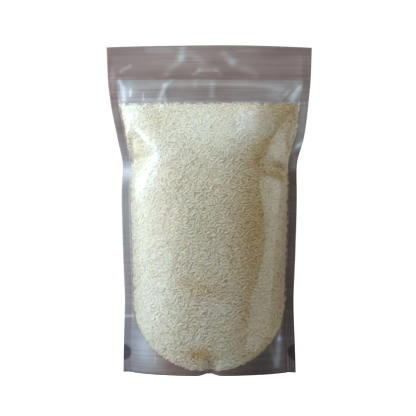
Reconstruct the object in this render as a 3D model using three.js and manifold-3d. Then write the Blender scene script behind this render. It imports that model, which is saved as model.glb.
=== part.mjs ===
// A one-kilogram bag of rice: a clear stand-up pouch, filled to four fifths of its height, with a
// press-to-close zip under its flat header. It stands on its opened bottom gusset.
// Millimetres, +Z up, the front faces -Y, and the origin is the middle of the base.
import * as THREE from "three";
import { mergeVertices } from "three/addons/utils/BufferGeometryUtils.js";
import Module from "manifold-3d";

// The pouch from its base to its top edge: half the width over the side seals, and half the
// depth in the middle. It is narrowest at the waist, where the full belly meets the flat top.
const BASE_Z = 0;
const WAIST_Z = 181;
const RICE_Z = 236;
const TENT_TOP_Z = 257;
const TOP_Z = 288;
const STATIONS = [
  { z: BASE_Z, halfWidth: 75.9, halfDepth: 29.5 },
  { z: 25, halfWidth: 75.5, halfDepth: 31.2 },
  { z: 62, halfWidth: 74.6, halfDepth: 31.6 },
  { z: 107, halfWidth: 76.1, halfDepth: 31.0 },
  { z: 157, halfWidth: 77.3, halfDepth: 28.8 },
  { z: WAIST_Z, halfWidth: 76.4, halfDepth: 26.5 },
  { z: 205, halfWidth: 80.8, halfDepth: 23.0 },
  { z: RICE_Z, halfWidth: 86.9, halfDepth: 14.0 },
  { z: TENT_TOP_Z, halfWidth: 89.4, halfDepth: 0.4 },
  { z: TOP_Z, halfWidth: 90.6, halfDepth: 0 },
];

// The right seal, seen from the front, stands out further at its shoulder.
const FLARE = 2.4;
const FLARE_Z = 207;
const FLARE_REACH = 24;
const TOP_DROOP = 2; // how far the ends of the top edge hang below its middle

const SEAL_WIDTH = 7; // the weld down each side
const HALF_FILM = 0.4; // half the thickness of two welded films, made strong enough to handle
const BULGE_WIDE = 2.2; // how long the belly's section stays deep on its way to a side seal
const BULGE_ROUND = 0.72; // 1 is a lens with sharp sides, 0.5 is an ellipse

// The header above the zip waves a little.
const HEADER_WAVE = 1.1;
const HEADER_WAVE_LENGTH = 128;

// The side seals buckle forwards or backwards where the pouch changes from full to flat.
// side -1 is the left seal, seen from the front, and +1 the right one. A bend dies out quickly
// away from its seal.
const BEND_POWER = 6;
const SEAL_BENDS = [
  { side: -1, z: 178, reach: 7, forward: -4.5 },
  { side: -1, z: 53, reach: 16, forward: 1.2 },
  { side: 1, z: 195, reach: 8, forward: -2.6 },
  { side: 1, z: 175, reach: 8, forward: 2.0 },
  { side: 1, z: 63, reach: 20, forward: -1.2 },
  { side: 1, z: 0, reach: 26, forward: 6.0 },
];

// Valleys pressed into a panel. Each is deepest where it starts, at a seal, and dies out towards
// the middle. panel -1 is the front and +1 the back.
const VALLEYS = [
  { panel: -1, from: [-77, 183], to: [-45, 192], reach: 5.5, depth: 7 },
  { panel: -1, from: [77, 171], to: [42, 185], reach: 5.5, depth: 7 },
  { panel: 1, from: [-77, 179], to: [-40, 187], reach: 6, depth: 7 },
  { panel: 1, from: [77, 177], to: [46, 188], reach: 5.5, depth: 6 },
];

// Soft hollows: the flat facets between the waist and the shoulders, beside the valleys, and a
// pucker in the middle of the bottom edge.
const HOLLOWS = [
  { panel: -1, x: -66, z: 201, reachX: 10, reachZ: 13, depth: 4.5 },
  { panel: -1, x: 65, z: 206, reachX: 11, reachZ: 19, depth: 5 },
  { panel: -1, x: 2, z: 4, reachX: 5, reachZ: 9, depth: 4 },
  { panel: 1, x: -64, z: 202, reachX: 11, reachZ: 14, depth: 5 },
  { panel: 1, x: 64, z: 203, reachX: 10, reachZ: 14, depth: 4.5 },
  { panel: 1, x: -6, z: 4, reachX: 6, reachZ: 9, depth: 3 },
];
const HOLLOW_FADE = 7; // a hollow is full only where the panel stands this far from the seals' plane

// The press-to-close zip: a flange welded to each panel, a tongue on the front one, and two hooks
// on the back one that close round it.
const ZIP_Z = 259;
const ZIP_HALF_LENGTH = 81;
const ZIP_HALF_HEIGHT = 3.5;
const ZIP_FACE = 1.1;
const ZIP_FLANGE = 0.4;
const TONGUE_HALF_NECK = 0.35;
const TONGUE_HALF_HEAD = 0.7;
const TONGUE_HEAD_LENGTH = 0.35;
const ZIP_CLEARANCE = 0.25;
const HOOK_WALL = 0.45;
const HOOK_LIP = 0.2;
const ZIP_GAP = 0.3;
const ZIP_SLOT_DEPTH = 9; // more than the pouch is thick at the zip

// Steps of the faceted panels.
const COLUMN_STEPS = 28;
const ROW_STEP = 6;

// The value named key at height z, on a smooth curve through the stations that never overshoots.
function stationValue(key, z) {
  const slopes = STATIONS.slice(1).map(
    (next, i) => (next[key] - STATIONS[i][key]) / (next.z - STATIONS[i].z),
  );
  const tangent = (i) => {
    const before = slopes[Math.max(i - 1, 0)];
    const after = slopes[Math.min(i, slopes.length - 1)];
    return before * after <= 0 ? 0 : (2 * before * after) / (before + after);
  };
  const found = STATIONS.findIndex((station) => station.z > z);
  const i = found < 0 ? STATIONS.length - 2 : Math.max(found - 1, 0);
  const low = STATIONS[i];
  const high = STATIONS[i + 1];
  const span = high.z - low.z;
  const t = THREE.MathUtils.clamp((z - low.z) / span, 0, 1);
  const ease = t * t * (3 - 2 * t);
  return (
    low[key] * (1 - ease) +
    high[key] * ease +
    span * tangent(i) * t * (1 - t) * (1 - t) -
    span * tangent(i + 1) * t * t * (1 - t)
  );
}

const bell = (distance, reach) => Math.exp(-((distance / reach) ** 2));

// How far the pouch reaches at height z on the side that x is on.
function reachAt(x, z) {
  return stationValue("halfWidth", z) + (x > 0 ? FLARE * bell(z - FLARE_Z, FLARE_REACH) : 0);
}

// How deep a valley is at a point of its panel.
function valleyDepth(valley, point) {
  const start = new THREE.Vector2(...valley.from);
  const way = new THREE.Vector2(...valley.to).sub(start);
  const offset = point.clone().sub(start);
  const along = THREE.MathUtils.clamp(offset.dot(way) / way.lengthSq(), 0, 1);
  const distance = offset.distanceTo(way.multiplyScalar(along));
  return valley.depth * (1 - along) * bell(distance, valley.reach);
}

// How far a panel is pressed in from its smooth bulge.
function pressedIn(panel, x, z) {
  const point = new THREE.Vector2(x, z);
  const valleys = VALLEYS.filter((valley) => valley.panel === panel).map((valley) =>
    valleyDepth(valley, point),
  );
  const hollows = HOLLOWS.filter((hollow) => hollow.panel === panel).map(
    (hollow) =>
      hollow.depth * bell(x - hollow.x, hollow.reachX) * bell(z - hollow.z, hollow.reachZ),
  );
  return [...valleys, ...hollows].reduce((sum, depth) => sum + depth, 0);
}

// How far the middle plane of the pouch stands forward of its own upright plane.
function forward(x, z) {
  const towardsTop = THREE.MathUtils.smoothstep(z, ZIP_Z + ZIP_HALF_HEIGHT, TOP_Z);
  const header = HEADER_WAVE * towardsTop * Math.sin((2 * Math.PI * x) / HEADER_WAVE_LENGTH);
  const side = x / reachAt(x, z);
  const bends = SEAL_BENDS.map(
    (bend) =>
      bend.forward * bell(z - bend.z, bend.reach) * Math.max(0, side * bend.side) ** BEND_POWER,
  );
  return bends.reduce((sum, bend) => sum + bend, header);
}

// The y of a panel at x and z. share is 1 at the edge of the pocket, where the side seal begins.
function panelY(panel, x, z) {
  const share = Math.min(Math.abs(x) / (reachAt(x, z) - SEAL_WIDTH), 1);
  const bulge = stationValue("halfDepth", z) * (1 - share ** BULGE_WIDE) ** BULGE_ROUND;
  const fade = THREE.MathUtils.smoothstep(bulge, 0, HOLLOW_FADE);
  const depth = Math.max(bulge - fade * pressedIn(panel, x, z), 0);
  return panel * (HALF_FILM + depth) - forward(x, z);
}

// The pouch with the rice in it, as one solid: rings of points up both panels, closed by a flat
// base and by the top edge.
function pouchGeometry() {
  const rows = Math.round(TOP_Z / ROW_STEP);
  const columns = COLUMN_STEPS + 3;
  const positions = [];
  for (let row = 0; row <= rows; row++) {
    const z = (TOP_Z * row) / rows;
    const left = reachAt(-1, z);
    const right = reachAt(1, z);
    const xs = [-left];
    for (let step = 0; step <= COLUMN_STEPS; step++) {
      const share = -Math.cos((Math.PI * step) / COLUMN_STEPS);
      xs.push(share * ((share < 0 ? left : right) - SEAL_WIDTH));
    }
    xs.push(right);
    const droop = (x) => TOP_DROOP * THREE.MathUtils.smoothstep(z, RICE_Z, TOP_Z) * (x / left) ** 2;
    xs.forEach((x) => positions.push(x, panelY(-1, x, z), z - droop(x)));
    [...xs].reverse().forEach((x) => positions.push(x, panelY(1, x, z), z - droop(x)));
  }

  const ring = 2 * columns;
  const indices = [];
  const quad = (a, b, c, d) => indices.push(a, b, c, a, c, d);
  for (let row = 0; row < rows; row++)
    for (let i = 0; i < ring; i++) {
      const next = (i + 1) % ring;
      quad(row * ring + i, row * ring + next, (row + 1) * ring + next, (row + 1) * ring + i);
    }
  const top = rows * ring;
  for (let i = 0; i < columns - 1; i++) {
    const opposite = ring - 1 - i;
    quad(i, opposite, opposite - 1, i + 1);
    quad(top + i, top + i + 1, top + opposite - 1, top + opposite);
  }
  return new THREE.BufferGeometry()
    .setAttribute("position", new THREE.Float32BufferAttribute(positions, 3))
    .setIndex(indices);
}

// A closed geometry as a manifold-3d solid, and a solid as a geometry.
const wasm = await Module();
wasm.setup();

function solidOf(geometry) {
  const bare = geometry.clone();
  bare.deleteAttribute("normal");
  bare.deleteAttribute("uv");
  const merged = mergeVertices(bare);
  return new wasm.Manifold(
    new wasm.Mesh({
      numProp: 3,
      vertProperties: merged.attributes.position.array,
      triVerts: new Uint32Array(merged.index.array),
    }),
  );
}

function geometryOf(solid) {
  const mesh = solid.getMesh();
  const geometry = new THREE.BufferGeometry()
    .setAttribute("position", new THREE.BufferAttribute(mesh.vertProperties, 3))
    .setIndex(new THREE.BufferAttribute(mesh.triVerts, 1));
  geometry.computeVertexNormals();
  return geometry;
}

// The pouch is open between its two films where the zip's flanges lie.
function pouch() {
  const slot = new THREE.BoxGeometry(
    2 * (ZIP_HALF_LENGTH + ZIP_GAP),
    ZIP_SLOT_DEPTH,
    2 * (ZIP_HALF_HEIGHT + ZIP_GAP),
  ).translate(0, 0, ZIP_Z);
  const geometry = geometryOf(solidOf(pouchGeometry()).subtract(solidOf(slot)));
  const film = new THREE.MeshStandardMaterial({
    color: 0xb9b5a2,
    roughness: 0.2,
    metalness: 0,
  });
  const mesh = new THREE.Mesh(geometry, film);
  mesh.name = "pouch";
  return mesh;
}

// One half of the zip, from its profile across the pouch: first y, then the height from ZIP_Z.
function zipHalf(name, profile) {
  const shape = new THREE.Shape(profile.map(([y, height]) => new THREE.Vector2(y, height)));
  const geometry = new THREE.ExtrudeGeometry(shape, {
    depth: 2 * ZIP_HALF_LENGTH,
    bevelEnabled: false,
    steps: 1,
  });
  const plastic = new THREE.MeshStandardMaterial({
    color: 0x9c9390,
    roughness: 0.35,
    metalness: 0,
  });
  const mesh = new THREE.Mesh(geometry, plastic);
  mesh.rotation.set(Math.PI / 2, Math.PI / 2, 0);
  mesh.position.set(-ZIP_HALF_LENGTH, 0, ZIP_Z);
  mesh.name = name;
  return mesh;
}

const mirrored = (half) => [...half, ...half.map(([y, height]) => [y, -height]).reverse()];

function zipTongue() {
  const inner = -(ZIP_FACE - ZIP_FLANGE);
  const tip = TONGUE_HEAD_LENGTH;
  const half = [
    [tip, TONGUE_HALF_NECK],
    [0, TONGUE_HALF_HEAD],
    [0, TONGUE_HALF_NECK],
    [inner, TONGUE_HALF_NECK],
    [inner, ZIP_HALF_HEIGHT],
    [-ZIP_FACE, ZIP_HALF_HEIGHT],
  ];
  return zipHalf("zip_tongue", mirrored(half));
}

function zipHooks() {
  const inner = ZIP_FACE - ZIP_FLANGE;
  const wall = TONGUE_HALF_HEAD + ZIP_CLEARANCE;
  const lip = TONGUE_HALF_NECK + ZIP_CLEARANCE;
  const mouth = -ZIP_CLEARANCE;
  const half = [
    [inner, wall],
    [mouth, wall],
    [mouth, lip],
    [mouth - HOOK_LIP, lip],
    [mouth - HOOK_LIP, wall + HOOK_WALL],
    [inner, wall + HOOK_WALL],
    [inner, ZIP_HALF_HEIGHT],
    [ZIP_FACE, ZIP_HALF_HEIGHT],
  ];
  return zipHalf("zip_hooks", mirrored(half));
}

const bagOfRice = new THREE.Group();
bagOfRice.add(pouch(), zipTongue(), zipHooks());

export default bagOfRice;
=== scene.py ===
import math

import bpy
import numpy as np
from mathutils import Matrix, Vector


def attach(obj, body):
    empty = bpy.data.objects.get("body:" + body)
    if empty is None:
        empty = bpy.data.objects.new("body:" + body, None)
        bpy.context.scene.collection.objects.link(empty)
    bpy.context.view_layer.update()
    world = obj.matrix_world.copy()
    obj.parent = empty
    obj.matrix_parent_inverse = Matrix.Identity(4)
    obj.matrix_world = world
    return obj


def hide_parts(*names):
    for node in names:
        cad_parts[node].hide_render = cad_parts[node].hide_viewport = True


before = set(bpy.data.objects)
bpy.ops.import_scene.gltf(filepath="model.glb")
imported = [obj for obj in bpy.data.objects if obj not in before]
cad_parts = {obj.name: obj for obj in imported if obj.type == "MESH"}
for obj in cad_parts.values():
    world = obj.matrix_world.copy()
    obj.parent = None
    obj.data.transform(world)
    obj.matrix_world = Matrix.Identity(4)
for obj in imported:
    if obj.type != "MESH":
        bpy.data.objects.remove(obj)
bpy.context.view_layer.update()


# The front film. One web of clear laminated film makes the front of the pouch, from the bottom
# edge to the top. It is welded to the back web down both sides, and the rice swells it between.
# Its form is the solid's: half widths and half depths by height, in millimetres, as are all sizes.
MM = 0.001
HEIGHT = 288.0
RICE_TOP = 236.0
ZIP_HEIGHT = 259.0
STATION_HEIGHTS = np.array([0, 25, 62, 107, 157, 181, 205, RICE_TOP, 257, HEIGHT])
HALF_WIDTHS = np.array([75.9, 75.5, 74.6, 76.1, 77.3, 76.4, 80.8, 86.9, 89.4, 90.6])
HALF_DEPTHS = np.array([29.5, 31.2, 31.6, 31.0, 28.8, 26.5, 23.0, 14.0, 0.4, 0.0])
FLARE = 2.4
FLARE_HEIGHT = 207
FLARE_REACH = 24
TOP_DROOP = 2.0
SEAL_WIDTH = 7.0
HALF_SEAL = 0.4
BULGE_WIDE = 2.2
BULGE_ROUND = 0.72
FRONT, BACK = -1, 1


def by_height(values, z):
    """The stations' values at height z, on a smooth curve that never overshoots."""
    rises = np.diff(values) / np.diff(STATION_HEIGHTS)
    before, after = np.append(rises[0], rises), np.append(rises, rises[-1])
    both = before + after
    tangents = np.where(before * after > 0, 2 * before * after / np.where(both == 0, 1, both), 0)
    i = np.clip(np.searchsorted(STATION_HEIGHTS, z, side="right") - 1, 0, len(rises) - 1)
    span = STATION_HEIGHTS[i + 1] - STATION_HEIGHTS[i]
    t = np.clip((z - STATION_HEIGHTS[i]) / span, 0, 1)
    ease = t * t * (3 - 2 * t)
    bend = tangents[i] * t * (1 - t) ** 2 - tangents[i + 1] * t**2 * (1 - t)
    return values[i] * (1 - ease) + values[i + 1] * ease + span * bend


def bell(distance, reach):
    return np.exp(-((distance / reach) ** 2))


def half_width(z, x=-1):
    """How far the pouch reaches on the side that x is on. The right shoulder stands out further."""
    return by_height(HALF_WIDTHS, z) + (np.sign(x) > 0) * FLARE * bell(z - FLARE_HEIGHT, FLARE_REACH)


def smoothstep(value, low, high):
    t = np.clip((value - low) / (high - low), 0, 1)
    return t * t * (3 - 2 * t)


def near_line(x, z, start, end):
    """How far a point is from a line, and how far along the line from 0 to 1."""
    way = np.subtract(end, start)
    along = np.clip(((x - start[0]) * way[0] + (z - start[1]) * way[1]) / (way @ way), 0, 1)
    return np.hypot(x - start[0] - way[0] * along, z - start[1] - way[1] * along), along


# Valleys start deep at a seal and die out: panel, start, end, reach and depth.
VALLEYS = [
    (FRONT, (-77, 183), (-45, 192), 5.5, 7),
    (FRONT, (77, 171), (42, 185), 5.5, 7),
    (BACK, (-77, 179), (-40, 187), 6, 7),
    (BACK, (77, 177), (46, 188), 5.5, 6),
]
# Hollows: panel, middle, reach across, reach up and depth.
HOLLOWS = [
    (FRONT, (-66, 201), 10, 13, 4.5),
    (FRONT, (65, 206), 11, 19, 5),
    (FRONT, (2, 4), 5, 9, 4),
    (BACK, (-64, 202), 11, 14, 5),
    (BACK, (64, 203), 10, 14, 4.5),
    (BACK, (-6, 4), 6, 9, 3),
]
HOLLOW_FADE = 7
# The side seals buckle: side, height, reach and how far forward.
SEAL_BENDS = [
    (-1, 178, 7, -4.5),
    (-1, 53, 16, 1.2),
    (1, 195, 8, -2.6),
    (1, 175, 8, 2.0),
    (1, 63, 20, -1.2),
    (1, 0, 26, 6.0),
]
BEND_POWER = 6
HEADER_WAVE = 1.1
HEADER_WAVE_LENGTH = 128
HEADER_FOOT = 262.5


def inside(x, z, outline, soft):
    """1 within an outline of corners and 0 outside it, with an edge this soft."""
    corners = np.array(outline, float)
    nearest = np.full(np.shape(x), np.inf)
    within = np.zeros(np.shape(x), bool)
    for start, end in zip(corners, np.roll(corners, -1, axis=0)):
        nearest = np.minimum(nearest, near_line(x, z, start, end)[0])
        rise = end[1] - start[1]
        if rise:
            crosses = (start[1] > z) != (end[1] > z)
            within ^= crosses & (x < start[0] + (z - start[1]) * (end[0] - start[0]) / rise)
    return 1 - smoothstep(np.where(within, -nearest, nearest), -soft / 2, soft / 2)


def pressed_in(panel, x, z):
    depth = 0 * x
    for side, start, end, reach, most in VALLEYS:
        if side == panel:
            distance, along = near_line(x, z, start, end)
            depth = depth + most * (1 - along) * bell(distance, reach)
    for side, (middle_x, middle_z), reach_x, reach_z, most in HOLLOWS:
        if side == panel:
            depth = depth + most * bell(x - middle_x, reach_x) * bell(z - middle_z, reach_z)
    return depth


def forward(x, z):
    """How far the middle plane of the pouch stands forward of its own upright plane."""
    wave = np.sin(2 * np.pi * x / HEADER_WAVE_LENGTH)
    header = HEADER_WAVE * smoothstep(z, HEADER_FOOT, HEIGHT) * wave
    share = x / half_width(z, x)
    bends = [
        amount * bell(z - height, reach) * np.maximum(0, share * side) ** BEND_POWER
        for side, height, reach, amount in SEAL_BENDS
    ]
    return header + sum(bends)


def smooth_bulge(x, z):
    share = np.minimum(np.abs(x) / (half_width(z, x) - SEAL_WIDTH), 1)
    return by_height(HALF_DEPTHS, z) * (1 - share**BULGE_WIDE) ** BULGE_ROUND


def panel_depth(panel, x, z):
    """How far the panel stands from the middle plane, without the thickness of the seal."""
    bulge = smooth_bulge(x, z)
    return np.maximum(bulge - smoothstep(bulge, 0, HOLLOW_FADE) * pressed_in(panel, x, z), 0)


# Where the rice lies behind the film: a level top, and a U that the bottom gusset holds up.
RAGGED = 0.9
RAGGED_BESIDE = 0.54
RAGGED_LENGTH = 5.5
EDGE_BESIDE = (-1.6, 0.2)
EDGE_ABOVE = (-0.4, 1.0)
RIPPLE_WAVES = 9
RIPPLE_SPREAD = (0.7, 1.4)
RICE_U_TOP = 62.0
RICE_U_LOW = 3.5


def rice_half_width(z, x=-1):
    pocket = half_width(np.maximum(z, RICE_U_TOP), x) - SEAL_WIDTH
    below = np.clip((RICE_U_TOP - z) / (RICE_U_TOP - RICE_U_LOW), 0, 1)
    return pocket * np.sqrt(1 - below**2)


def ripples(x, z, length, seed):
    """Gentle random waves, mostly from -1 to 1, of about this length."""
    draw = np.random.default_rng(seed)
    total = 0 * x
    for _ in range(RIPPLE_WAVES):
        heading, phase = draw.uniform(0, 2 * np.pi, 2)
        wave = length * draw.uniform(*RIPPLE_SPREAD)
        along = x * np.cos(heading) + z * np.sin(heading)
        total = total + np.sin(2 * np.pi * along / wave + phase)
    return total / math.sqrt(RIPPLE_WAVES)


def emptiness(x, z):
    """0 where rice backs the film and 1 where none does, with a soft edge."""
    ragged = ripples(x, z, RAGGED_LENGTH, seed=41)
    past_side = np.abs(x) - rice_half_width(z, x) + RAGGED_BESIDE * ragged
    beside = smoothstep(past_side, *EDGE_BESIDE)
    above = smoothstep(z + RAGGED * ragged - RICE_TOP, *EDGE_ABOVE)
    return np.maximum(beside, above)


# Fine folds that only the film has: panel, start, end, reach and height, raised above 0.
FOLDS = [
    (FRONT, (-38.5, 236), (-38.5, 255), 1.4, 1.2),
    (FRONT, (-68.5, 239), (-68.5, 250), 1.2, 0.7),
    (FRONT, (-58.0, 237), (-58.5, 248), 1.2, 0.7),
    (FRONT, (3.0, 240), (3.5, 255), 2.0, 0.8),
    (FRONT, (77.0, 256), (62.0, 241), 1.8, -1.2),
    (FRONT, (-68.0, 216), (-46.5, 193), 1.6, 0.9),
    (FRONT, (68.7, 226), (44.0, 188), 1.8, 1.0),
    (FRONT, (-46.5, 192), (-61.0, 153), 2.2, 0.7),
    (FRONT, (57.0, 177), (72.0, 172), 1.6, -0.8),
    (FRONT, (-14.0, 19), (-3.0, 27), 1.6, 0.7),
    (FRONT, (8.0, 3), (14.0, 15), 2.4, 0.8),
    (FRONT, (-65.0, 48), (-74.0, 48.5), 1.2, 0.4),
    (FRONT, (-25.0, 286), (-39.0, 263), 2.6, 0.5),
    (FRONT, (13.0, 280), (43.0, 263), 2.6, 0.5),
    (FRONT, (-15.0, 264), (10.0, 265), 1.8, 0.4),
    (BACK, (-44.0, 237), (-43.0, 254), 1.6, 0.8),
    (BACK, (22.0, 239), (21.0, 255), 1.8, 0.8),
    (BACK, (62.0, 238), (60.0, 250), 1.5, 0.7),
    (BACK, (-66.0, 219), (-42.0, 189), 1.8, 0.9),
    (BACK, (66.0, 221), (47.0, 190), 1.8, 0.9),
    (BACK, (20.0, 286), (34.0, 263), 2.6, 0.5),
    (BACK, (-18.0, 282), (-44.0, 263), 2.6, 0.5),
]
FOLD_ENDS = 0.25
# The swollen film ripples as well: height, length and seed.
FILM_RIPPLES = [(0.28, 34, 5), (0.10, 13, 9)]
HEADER_FADE = 6
NOTCH_MIDDLE = -0.5
NOTCH_HEIGHT = 2.4
NOTCH_REACH = 6.0
NOTCH_FADE = 18.0
ZIP_HALF_LENGTH = 81.0
ZIP_HALF_HEIGHT = 3.5
OVER_ZIP = 1.3
ZIP_FADE = 25.0
ZIP_END_FADE = 9.0
ZIP_CREASE = 1.8
FILM_THICKNESS = 0.18
# Where the front film is stretched flat and stands off the grains: a long patch low on the right,
# and a facet above it that ends in the valley.
STAND_OFF = 0.4
LOW_PATCH_SOFT = 2.0
HIGH_FACET_SOFT = 3.0
LOW_PATCH = [
    (50.7, 172.3), (43.3, 167.7), (45.9, 151.4), (48.0, 135.9), (48.5, 123.2),
    (47.5, 106.5), (44.3, 91.8), (40.2, 78.1), (36.5, 68.7), (35.8, 55.1),
    (32.9, 39.4), (31.7, 21.8), (39.5, 20.1), (51.2, 37.4), (54.3, 65.6),
    (56.4, 97.0), (59.0, 127.3), (61.6, 149.3), (63.7, 165.1), (61.1, 168.7),
]
HIGH_FACET = [
    (72.2, 227.1), (62.1, 216.2), (55.4, 202.1), (51.0, 193.6), (45.0, 185.1),
    (55.4, 180.8), (63.2, 190.0), (67.3, 201.5), (67.6, 211.4),
]


def stands_off(panel, x, z):
    if panel == BACK:
        return 0 * x
    low = inside(x, z, LOW_PATCH, LOW_PATCH_SOFT)
    return np.maximum(low, inside(x, z, HIGH_FACET, HIGH_FACET_SOFT))


def film_depth(panel, x, z):
    """The film from the middle plane outwards, with its fine folds and the zip behind it."""
    bulge = panel_depth(panel, x, z)
    folds = 0 * x
    for side, start, end, reach, height in FOLDS:
        if side == panel:
            distance, along = near_line(x, z, start, end)
            fade = smoothstep(along, 0, FOLD_ENDS) * smoothstep(1 - along, 0, FOLD_ENDS)
            folds = folds + height * fade * bell(distance, reach)
    taut = smoothstep(bulge, 0, HOLLOW_FADE)
    for height, length, seed in FILM_RIPPLES:
        folds = folds + taut * height * ripples(x, z, length, seed + panel)
    folds = folds + taut * STAND_OFF * stands_off(panel, x, z)
    at_zip = 1 - smoothstep(np.abs(z - ZIP_HEIGHT) - ZIP_HALF_HEIGHT, 0, ZIP_FADE)
    at_zip = at_zip * (1 - smoothstep(np.abs(x) - ZIP_HALF_LENGTH, 0, ZIP_END_FADE))
    loose = np.maximum(taut, smoothstep(z - HEADER_FOOT, 0, HEADER_FADE))
    swollen, raised = bulge + folds * loose, OVER_ZIP * at_zip - HALF_SEAL
    return HALF_SEAL + (swollen + raised + np.hypot(swollen - raised, ZIP_CREASE * at_zip)) / 2


FILM_ROWS = 205
FILM_COLUMNS = 118
SEAL_COLUMNS = 6


def pouch_columns(z, count=FILM_COLUMNS):
    """The x of every column at heights z, close together towards the pocket's edges."""
    t = np.linspace(-1, 1, count + 1)
    spread = (np.sin(np.pi * t / 2) + t) / 2
    seal = np.linspace(1, 0, SEAL_COLUMNS + 1)[:-1]
    pocket_left = half_width(z)[:, None] - SEAL_WIDTH
    pocket_right = half_width(z, 1)[:, None] - SEAL_WIDTH
    pocket = np.where(spread < 0, pocket_left, pocket_right) * spread
    left_seal, right_seal = -pocket_left - SEAL_WIDTH * seal, pocket_right + SEAL_WIDTH * seal[::-1]
    return np.hstack([left_seal, pocket, right_seal])


def mesh_piece(name, points, faces, attributes=()):
    """A smooth mesh object from points in millimetres."""
    mesh = bpy.data.meshes.new(name)
    mesh.from_pydata((np.asarray(points) * MM).tolist(), [], faces)
    mesh.shade_smooth()
    for label, values in dict(attributes).items():
        layer = mesh.attributes.new(label, "FLOAT", "POINT")
        layer.data.foreach_set("value", np.asarray(values, np.float32).ravel())
    piece = bpy.data.objects.new(name, mesh)
    bpy.context.scene.collection.objects.link(piece)
    return piece


def grid_faces(rows, columns, closed=False):
    """The faces of a grid of points, whose rows may be closed rings."""
    index = np.arange(rows * columns).reshape(rows, columns)
    if closed:
        index = np.hstack([index, index[:, :1]])
    corners = [index[:-1, :-1], index[:-1, 1:], index[1:, 1:], index[1:, :-1]]
    return np.stack(corners, axis=-1).reshape(-1, 4)


def film_sheet(name, outer, attributes):
    """A closed sheet of film from a grid of points on its outer face, which its rows run up."""
    rows, columns = outer.shape[:2]
    across, up = np.gradient(outer, axis=1), np.gradient(outer, axis=0)
    normals = np.cross(across, up)
    normals /= np.linalg.norm(normals, axis=2, keepdims=True)
    inner = outer - FILM_THICKNESS * normals
    count = rows * columns
    face = grid_faces(rows, columns)
    index = np.arange(count).reshape(rows, columns)
    border = np.concatenate([index[0, :-1], index[:-1, -1], index[-1, :0:-1], index[:0:-1, 0]])
    following = np.roll(border, -1)
    rim = np.stack([following, border, border + count, following + count], axis=-1)
    faces = np.vstack([face, face[:, ::-1] + count, rim]).tolist()
    points = np.vstack([outer.reshape(-1, 3), inner.reshape(-1, 3)])
    both = {label: np.tile(values.ravel(), 2) for label, values in attributes.items()}
    return mesh_piece(name, points, faces, both)


PUNCH_HEIGHT = 17.5
PUNCH_RADIUS = 7.5
PUNCH_EDGE = (-1.5, 0.5)


def punched(x, z):
    """1 in the two half discs that are punched out of the gusset at the side seals."""
    distance = np.hypot(np.abs(x) - half_width(z), z - PUNCH_HEIGHT)
    return 1 - smoothstep(distance - PUNCH_RADIUS, *PUNCH_EDGE)


# How light the film is painted where no rice backs it: 0 is deep brown smoke in painted shadow and 1
# a cool bright haze, a painted reflection of the window. It is lighter below the waist, lighter in
# the empty tent under the zip with a painted reflection of the soft boxes, a little darker in painted
# shade on the upper right, and darkest low on the right, in the painted shadow of the swollen belly.
HAZE = 0.42
LIGHTER_BELOW_WAIST = 0.09
SHADE_UPPER_RIGHT = -0.02
SHADOW_LOWER_RIGHT = -0.38
TENT_REFLECTION = 0.15
WAIST = (181, 202)
UPPER_RIGHT = (20, 90)
LOWER_RIGHT = (10, 50)
TENT_FOOT = (RICE_TOP - 8, RICE_TOP)
TENT_TOP = (257, 258)
TENT_SIDE = (-1, 0.5)
# Soft patches of painted highlight and painted shade on the front: middle, reach across, reach up
# and amount.
SMOKE_HIGHLIGHT_AND_SHADE_PATCHES = [
    ((-54, 22), 12, 17, 0.30),
    ((-44, 8), 14, 9, 0.12),
    ((-73, 140), 8, 45, 0.15),
    ((-73, 60), 8, 30, 0.08),
    ((84, 222), 9, 30, 0.22),
    ((-83, 227), 5, 16, 0.17),
    ((74, 130), 6, 60, 0.08),
    ((76, 274), 20, 9, 0.10),
    ((-80, 198), 9, 12, 0.15),
    ((-72, 70), 7, 40, 0.06),
    ((-72, 178), 9, 8, 0.36),
    ((66, 21), 7, 30, 0.06),
    ((40, 14), 20, 14, -0.04),
    ((-26, 8), 20, 9, -0.16),
    ((16, 4), 26, 9, -0.22),
    ((7, 273), 8, 3, -0.10),
    ((23, 263), 14, 3.5, -0.10),
    ((71, 273), 16, 4, -0.07),
    ((-72, 247), 6, 9, 0.18),
    ((60, 246), 14, 7, 0.07),
    ((-17, 244), 30, 10, -0.06),
]
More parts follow.
